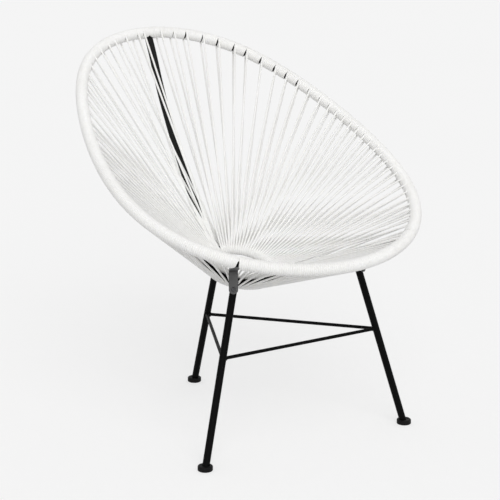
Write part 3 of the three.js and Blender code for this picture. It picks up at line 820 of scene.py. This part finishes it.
def cord_path(first):
    """One length of cord, from the ring by a station to the hoop, along it and back by the next.

    Where it crosses a bar, cut is the number of the point at which the next piece takes over.
    """
    last = (first + 1) % STATION_COUNT
    lap = HOOP_LENGTH if last == 0 else 0
    start_arc = STATIONS[first]
    end_arc = STATIONS[last] + lap
    crossed = None
    for name, arc in SPAR_ARCS.items():
        if start_arc < arc + lap < end_arc:
            crossed = (name, arc + lap)
    depths = (MARK_DEPTHS.get(first, 1), MARK_DEPTHS.get(last, 1))
    wound, wound_normals, wound_wide, arcs = winding(depths, start_arc, end_arc, crossed)
    up_points, up_normals, up_way = strand(first, 1)
    down_points, down_normals, down_way = strand(last, -1)
    begin_way = unit(wound[1] - wound[0])
    finish_way = unit(wound[-1] - wound[-2])
    first_bend = hermite(up_points[-1], up_way, wound[0], begin_way, HOOP_BEND_POINTS)
    last_bend = hermite(wound[-1], finish_way, down_points[-1], -down_way, HOOP_BEND_POINTS)
    points = np.concatenate([up_points, first_bend, wound, last_bend, down_points[::-1]])
    shares = inner_shares(HOOP_BEND_POINTS)
    first_normals = mixed(up_normals[-1], wound_normals[0], shares)
    last_normals = mixed(wound_normals[-1], down_normals[-1], shares)
    parts = [up_normals, first_normals, wound_normals, last_normals, down_normals[::-1]]
    normals = np.concatenate(parts)
    lead = len(up_points) + HOOP_BEND_POINTS
    wide = np.full(len(points), CORD_RADIUS)
    wide[lead:lead + len(wound)] = wound_wide
    wide[:WIDE_POINTS] = RING_WIDTHS
    wide[-WIDE_POINTS:] = RING_WIDTHS[::-1]
    cut = None if crossed is None else lead + int(np.argmax(arcs > crossed[1]))
    return points, normals, wide, cut


def add_cords():
    """The cord between the bars, as three pieces, each the whole of one CAD node."""
    per_side = len(BACK_MARKS_RIGHT) + SIDE_COUNT
    order = ["right"] * per_side + ["front"] * (2 * FRONT_COUNT) + ["left"] * per_side
    surfaces = {name: Surface() for name in ("left", "right", "front")}
    for first in range(STATION_COUNT):
        points, normals, wide, cut = cord_path(first)
        parts = [(first, slice(None))]
        if cut is not None:
            parts = [(first, slice(cut + 1)), ((first + 1) % STATION_COUNT, slice(cut, None))]
        for station, part in parts:
            surface = surfaces[order[station]]
            surface.sweep(points[part], normals[part], wide[part], CORD_RADIUS, CORD_SIDES)
    for name, surface in surfaces.items():
        surface.build(f"seat_cord_{name}", CORD, "cord", f"{name}_cord")


# The steel, the feet and the bolts

def add_hoop_and_ring():
    point, _, upper, _ = hoop_frame(np.linspace(0, HOOP_LENGTH, HOOP_SEGMENTS, endpoint=False))
    hoop = Surface()
    hoop.sweep(point, upper, TUBE_RADIUS, TUBE_RADIUS, TUBE_SIDES, closed=True)
    hoop.build("rim_tube", TUBE_PAINT, "frame", "rim_hoop")
    point, _ = ring_at(np.linspace(0, TURN, RING_SEGMENTS, endpoint=False))
    square = vec(0, -math.sin(RING_TILT), math.cos(RING_TILT))
    ring = Surface()
    ring.sweep(point, square, TUBE_RADIUS, TUBE_RADIUS, TUBE_SIDES, closed=True)
    ring.build("centre_ring_tube", TUBE_PAINT, "frame", "centre_ring")


def bar_outline():
    """The bar's section with rounded edges, as points about its middle."""
    points = []
    for x, y, start in ((1, 1, 0), (-1, 1, 90), (-1, -1, 180), (1, -1, 270)):
        middle = vec(x * (BAR_WIDTH / 2 - BAR_EDGE), y * (BAR_THICKNESS / 2 - BAR_EDGE))
        turns = np.radians(start + np.linspace(0, 90, BAR_EDGE_STEPS + 1))
        outward = [vec(math.cos(turn), math.sin(turn)) for turn in turns]
        edge = [middle + BAR_EDGE * way for way in outward]
        before = edge[0] + BAR_EDGE_MARGIN * vec(outward[0][1], -outward[0][0])
        after = edge[-1] + BAR_EDGE_MARGIN * vec(-outward[-1][1], outward[-1][0])
        points += [before, *edge, after]
    return np.array(points)


def add_bar(name):
    """A bar along its path, with a round tip beyond the bolt."""
    plane, bolt, path = BARS[name]
    places = [path[0]]
    for a, b in zip(path, path[1:]):
        count = max(1, int(np.linalg.norm(b - a) // BAR_SEGMENT))
        places += [mixed(a, b, k / count) for k in range(1, count + 1)]
    half = BAR_WIDTH / 2
    narrowed = [0] * len(places)
    down = unit(vec(-plane.lean, -1))
    for turn in np.radians(np.linspace(0, BAR_TIP_DEGREES, BAR_TIP_STEPS + 1))[1:]:
        places.append(bolt + down * half * math.sin(turn))
        narrowed.append(half - half * math.cos(turn))
    centres = plane.to_space(np.array(places))
    ways = unit(np.gradient(centres, axis=0))
    normals = np.cross(plane.across, ways)
    across = np.cross(normals, ways)
    outline = bar_outline()
    rows = []
    for centre, normal, side, less in zip(centres, normals, across, narrowed):
        wide = np.sign(outline[:, :1]) * np.maximum(np.abs(outline[:, :1]) - less, BAR_TIP_HALF_WIDTH)
        rows.append(centre + side * wide + normal * outline[:, 1:])
    surface = Surface()
    surface.add_rings(np.array(rows), np.arange(len(rows)) * BAR_UV_STEP, caps=True)
    # The front bars take the coat with the painted sheen (a lighter colour than the real black paint);
    # the back bar keeps the plain black coat.
    surface.build(f"{name}_bar", BAR_PAINT if name == "back" else TAB_PAINT_WITH_PAINTED_SHEEN, "frame", f"{name}_spar")


def add_leg(name):
    _, top = LEGS[name]
    start = leg_at(name, FOOT_HEIGHT - LEG_IN_FOOT)
    length = float(np.linalg.norm(top - start))
    shares = np.linspace(0, LEG_RINGS_SHARE, LEG_RINGS)
    profile = [(LEG_RADIUS, length * share) for share in shares]
    profile += [(LEG_RADIUS - inward, length + up) for inward, up in LEG_PLUG]
    profile.append((CLOSED_END, length + LEG_PLUG_TOP))
    surface = Surface()
    surface.lathe(start, top - start, profile)
    surface.build(f"{name}_leg_tube", TUBE_PAINT, "frame", f"{name}_leg")


def weld(reach):
    """The radius that a weld bead adds to a rod, by distance from the leg's middle."""
    return WELD_HEIGHT * math.exp(-(((reach - LEG_RADIUS) / WELD_REACH) ** 2))


def add_stretcher(name, start, end):
    """A rod that starts and ends inside the legs' tubes, with fine steps where the welds are."""
    length = float(np.linalg.norm(end - start))
    near = np.linspace(STRETCHER_START, WELD_END, WELD_RINGS)
    middle = np.linspace(WELD_MARGIN, length - WELD_MARGIN, STRETCHER_RINGS)
    reaches = [*near, *middle, *(length - near[::-1])]
    profile = [(STRETCHER_RADIUS + weld(reach) + weld(length - reach), reach) for reach in reaches]
    surface = Surface()
    surface.lathe(start, end - start, profile, STRETCHER_SIDES, STRETCHER_RIPPLE)
    surface.build(f"{name}_stretcher_rod", TUBE_PAINT, "frame", f"{name}_stretcher")


def rounding(radius, height, size, start, end, count):
    """Profile points of an edge of that outer radius, rounded about a height, between two angles."""
    middle = radius - size
    turns = np.radians(np.linspace(start, end, count))
    return [(middle + size * math.cos(turn), height + size * math.sin(turn)) for turn in turns]


def add_foot(name):
    """A glide, hollowed a little below, with a rounded shoulder and a recess round the leg."""
    r = FOOT_RADIUS
    h = FOOT_HEIGHT
    profile = [(CLOSED_END, 1.2), (r - 5.5, 1.2), (r - 4.8, 0.4), (r - 4.2, 0.0)]
    profile.append((r - FOOT_LOWER_ROUND, 0.0))
    profile += rounding(r, FOOT_LOWER_ROUND, FOOT_LOWER_ROUND, -75, 0, 6)
    profile += [(r, 3.2), (r, 5.0), (r, h - FOOT_UPPER_ROUND)]
    profile += rounding(r, h - FOOT_UPPER_ROUND, FOOT_UPPER_ROUND, 10, 90, 9)
    profile += [(r - 5.0, h), (10.6, h), (9.9, h - 0.05), (9.3, h - 0.5), (8.6, h - 0.9)]
    profile.append((CLOSED_END, h - 0.9))
    surface = Surface()
    surface.lathe(LEGS[name][0], UP, profile, FOOT_SIDES)
    surface.build(f"{name}_foot_glide", RUBBER, "foot", f"{name}_foot")


def add_bolt(name):
    """A bolt's domed head with its hexagon socket, on the outer face of a bar's tab."""
    plane, bolt, _ = BARS[name]
    seat = plane.to_space(bolt)[0] + plane.outward * BAR_THICKNESS / 2
    turns = TURN * np.arange(LATHE_SIDES) / LATHE_SIDES
    wedge = (turns + TURN / 12) % (TURN / 6) - TURN / 12
    hexagon = BOLT_SOCKET_WIDTH / 2 / np.cos(wedge)
    r = BOLT_HEAD_RADIUS
    top = BOLT_HEAD_HEIGHT
    floor = top - BOLT_SOCKET_DEPTH
    rise = (top - BOLT_FOOT_BEVEL) / math.sin(math.radians(BOLT_DOME_DEGREES))
    profile = [(r - 0.3, 0.0), (r, BOLT_FOOT_BEVEL)]
    for turn in np.radians(np.linspace(8, BOLT_DOME_DEGREES, 8)):
        profile.append((r * math.cos(turn), BOLT_FOOT_BEVEL + rise * math.sin(turn)))
    profile += [(hexagon + 0.3, top), (hexagon + 0.05, top - 0.12), (hexagon, top - 0.3)]
    profile += [(hexagon, floor), (hexagon * 0.95, floor - 0.1), (CLOSED_END, floor - 0.5)]
    surface = Surface()
    surface.lathe(seat, plane.outward, profile, first_side=plane.tab_up)
    surface.build(f"{name}_screw", BOLT, "bolt", f"{name}_bolt")


# Floor, light and camera

def seen_rays(tree):
    """One for rays from the camera, a reflection or a clear material, and nought for light."""
    rays = node(tree, "ShaderNodeLightPath", {}).outputs
    seen = arithmetic(tree, "MAXIMUM", rays["Is Camera Ray"], rays["Is Glossy Ray"])
    return arithmetic(tree, "MAXIMUM", seen, rays["Is Transmission Ray"])


def floor_material():
    """As pale as the backdrop to the camera, and a little darker in the light that it throws up."""
    material, tree, shader = new_material("pale_studio_floor")
    broad = noise(tree, coordinates(tree, "Object"), 0.6, 2.0)
    colour = ramp(tree, broad, [(0.3, (0.945, 0.945, 0.945)), (0.7, (0.955, 0.955, 0.955))])
    seen = seen_rays(tree)
    set_inputs(tree, shader, {
        "Base Color": mixed_colour(tree, seen, FLOOR_LIT, colour),
        "Roughness": 0.9,
        "Specular IOR Level": 0.0,
    })
    glow = node(tree, "ShaderNodeEmission", {"Color": WHITE}).outputs["Emission"]
    glow_share = arithmetic(tree, "MULTIPLY", seen, FLOOR_GLOW_SHARE)
    surface = mixed_shader(tree, glow_share, shader.outputs["BSDF"], glow)
    tree.links.new(surface, tree.nodes["Material Output"].inputs["Surface"])
    return material


def add_floor():
    places = np.linspace(-FLOOR_HALF, FLOOR_HALF, FLOOR_CELLS + 1)
    verts = [(x, y, 0.0) for y in places for x in places]
    row = FLOOR_CELLS + 1
    corners = [i + j * row for j in range(FLOOR_CELLS) for i in range(FLOOR_CELLS)]
    mesh = bpy.data.meshes.new("studio_floor")
    faces = [(corner, corner + 1, corner + 1 + row, corner + row) for corner in corners]
    mesh.from_pydata(verts, [], faces)
    mesh.materials.append(floor_material())
    floor = bpy.data.objects.new("studio_floor", mesh)
    bpy.context.scene.collection.objects.link(floor)


def direction(azimuth, elevation):
    """From the chair to a lamp or the camera. Azimuth 0 is the front, and 90 degrees the +X side."""
    a = math.radians(azimuth)
    e = math.radians(elevation)
    return vec(math.sin(a) * math.cos(e), -math.cos(a) * math.cos(e), math.sin(e))


def stand(name, data, side, rise, back, place):
    """Put up a lamp or the camera, which looks against back."""
    holder = bpy.data.objects.new(name, data)
    rows = np.stack([side, rise, back, place], axis=1)
    holder.matrix_world = Matrix([*rows.tolist(), [0, 0, 0, 1]])
    bpy.context.scene.collection.objects.link(holder)
    return holder


def add_light():
    world = bpy.data.worlds.new("soft_studio")
    world.use_nodes = True
    tree = world.node_tree
    tree.nodes.clear()
    lit = node(tree, "ShaderNodeBackground", {"Color": WHITE, "Strength": WORLD_LEVEL})
    backdrop = node(tree, "ShaderNodeBackground", {"Color": (WORLD_SEEN, WORLD_SEEN, WORLD_SEEN, 1)})
    seen = seen_rays(tree)
    shown = mixed_shader(tree, seen, lit.outputs["Background"], backdrop.outputs["Background"])
    node(tree, "ShaderNodeOutputWorld", {"Surface": shown})
    bpy.context.scene.world = world
    for name, azimuth, elevation, strength, breadth in SUNS:
        light = bpy.data.lights.new(name, "SUN")
        light.energy = strength
        light.angle = math.radians(breadth)
        back = direction(azimuth, elevation)
        side = unit(np.cross(UP, back))
        stand(name, light, side, np.cross(back, side), back, vec(0, 0, 0))


def add_camera():
    back = direction(CAMERA_AZIMUTH, CAMERA_ELEVATION)
    level = unit(np.cross(UP, back))
    upright = np.cross(back, level)
    roll = math.radians(CAMERA_ROLL)
    side = level * math.cos(roll) + upright * math.sin(roll)
    rise = upright * math.cos(roll) - level * math.sin(roll)
    place = back * CAMERA_DISTANCE + side * CAMERA_SIDE + rise * CAMERA_RISE
    place = (place + vec(0, CAMERA_ORIGIN_Y, 0)) * MILLIMETRE
    camera = bpy.data.cameras.new("photo_camera")
    camera.sensor_width = SENSOR_WIDTH
    camera.lens = CAMERA_FOCAL_PIXELS * SENSOR_WIDTH / FRAME_PIXELS
    camera.clip_start, camera.clip_end = CAMERA_CLIP
    bpy.context.scene.camera = stand("photo_camera", camera, side, rise, back, place)


add_camera()
add_floor()
add_light()
bpy.context.scene.view_settings.view_transform = "Standard"

add_cords()
add_hoop_and_ring()
for leg_name in LEGS:
    add_bar(leg_name)
    add_leg(leg_name)
    add_foot(leg_name)
    add_bolt(leg_name)
back_joint = leg_at("back", BACK_JOINT_HEIGHT)
left_joint = leg_at("front_left", FRONT_JOINT_HEIGHT)
right_joint = leg_at("front_right", FRONT_JOINT_HEIGHT)
add_stretcher("left", left_joint, back_joint - vec(BACK_JOINT_OFFSET, 0, 0))
add_stretcher("right", right_joint, back_joint + vec(BACK_JOINT_OFFSET, 0, 0))
add_stretcher("front", left_joint, right_joint)
